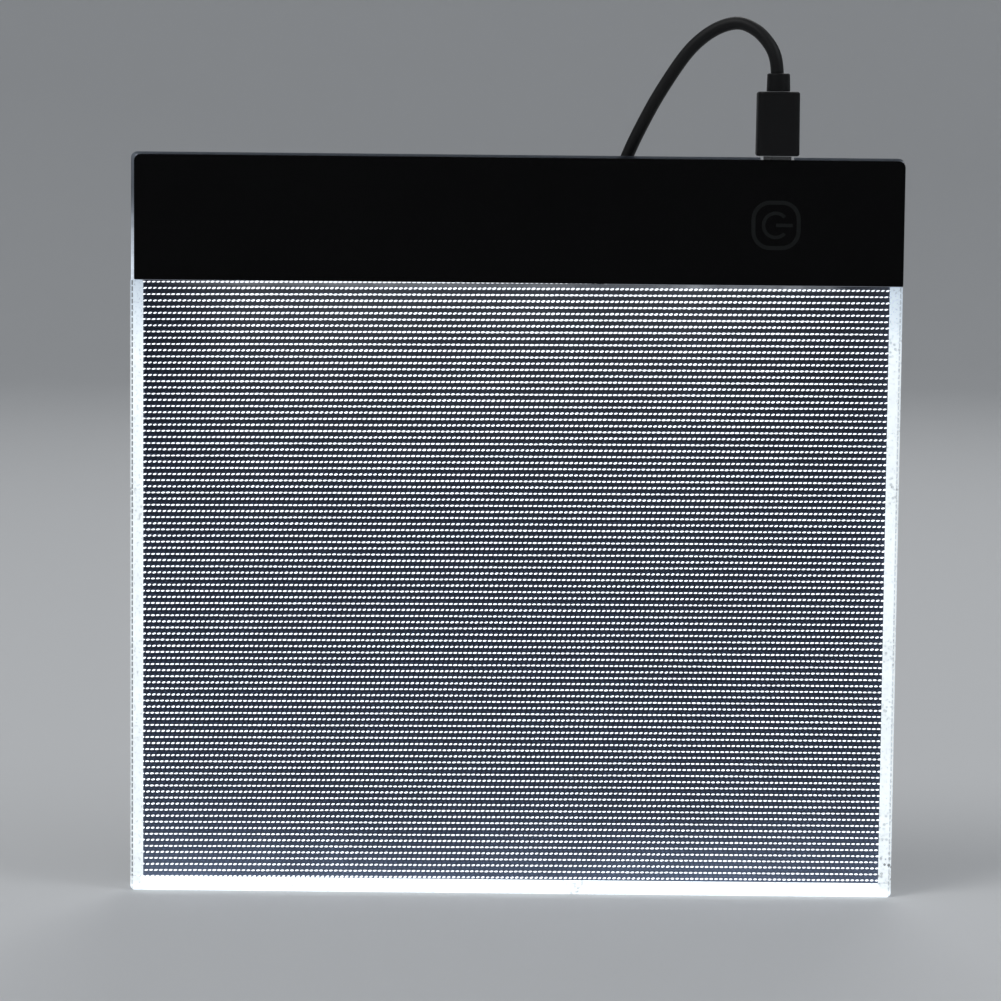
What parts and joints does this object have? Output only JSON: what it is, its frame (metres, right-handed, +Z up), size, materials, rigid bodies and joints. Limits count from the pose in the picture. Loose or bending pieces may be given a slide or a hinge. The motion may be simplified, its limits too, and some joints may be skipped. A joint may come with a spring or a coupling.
{
  "type": "light box",
  "caption": "Thin square light pad for tracing, with a dotted clear panel, white edge tape, a black bar with a touch key, and a USB lead plugged in on top.",
  "frame": {"origin": "middle of the pad's footprint on the surface that it stands on, without the lead", "axes": "+X to the viewer's right along the pad's long edge, +Y towards its back, +Z up; the lit face looks towards -Y"},
  "size_m": [0.19, 0.0542, 0.2177],
  "materials": {
    "clear_acrylic": "clear, polished, printed with white dots",
    "backing": "matt dark film",
    "white_tape": "satin white reflective tape",
    "black_plastic": "fine satin",
    "key_ink": "printed ink",
    "circuit_board": "solder mask",
    "chip": "matt moulded",
    "led_body": "satin",
    "copper": "bright foil",
    "steel": "nickel plated",
    "wire_red": "satin",
    "wire_black": "satin",
    "rubber": "matt",
    "cord_pvc": "satin PVC"
  },
  "bodies": {
    "root": {"light_guide_plate": "clear_acrylic", "backing_sheet": "backing", "edge_tape_left": "white_tape", "edge_tape_right": "white_tape", "edge_tape_bottom": "white_tape", "front_cover": "black_plastic", "rear_cover": "black_plastic", "key_ring_mark": "key_ink", "key_arc_mark": "key_ink", "key_bar_mark": "key_ink", "main_board": "circuit_board", "led_board": "circuit_board", "controller_chip": "chip", "driver_transistor": "chip", "filter_capacitor": "led_body", "series_resistor": "chip", "key_resistor": "chip", "touch_electrode": "copper", "usb_socket_shell": "steel", "usb_socket_tongue": "chip", "led_wire_red": "wire_red", "led_wire_black": "wire_black", "side_led_01": "led_body", "side_led_02": "led_body", "side_led_03": "led_body", "side_led_04": "led_body", "side_led_05": "led_body", "side_led_06": "led_body", "side_led_07": "led_body", "side_led_08": "led_body", "side_led_09": "led_body", "side_led_10": "led_body", "side_led_11": "led_body", "side_led_12": "led_body", "side_led_13": "led_body", "side_led_14": "led_body", "side_led_15": "led_body", "side_led_16": "led_body", "rubber_foot_1": "rubber", "rubber_foot_2": "rubber", "rubber_foot_3": "rubber", "rubber_foot_4": "rubber", "cover_screw_1": "steel", "cover_screw_2": "steel", "cover_screw_3": "steel", "cover_screw_4": "steel", "cord_fall": "cord_pvc", "cord_coil": "cord_pvc", "cord_tail": "cord_pvc", "cord_tie": "rubber", "usb_a_strain_relief": "cord_pvc", "usb_a_overmould": "cord_pvc", "usb_a_shell": "steel", "usb_a_tongue": "chip"},
    "plug": {"plug_shell": "steel", "plug_overmould": "cord_pvc", "plug_strain_relief": "cord_pvc", "cord_arc": "cord_pvc"}
  },
  "joints": [
    {"name": "plug_pull", "type": "slide", "parent": "root", "child": "plug", "axis": [0, 0, 1], "range_m": [0, 0.008]}
  ]
}
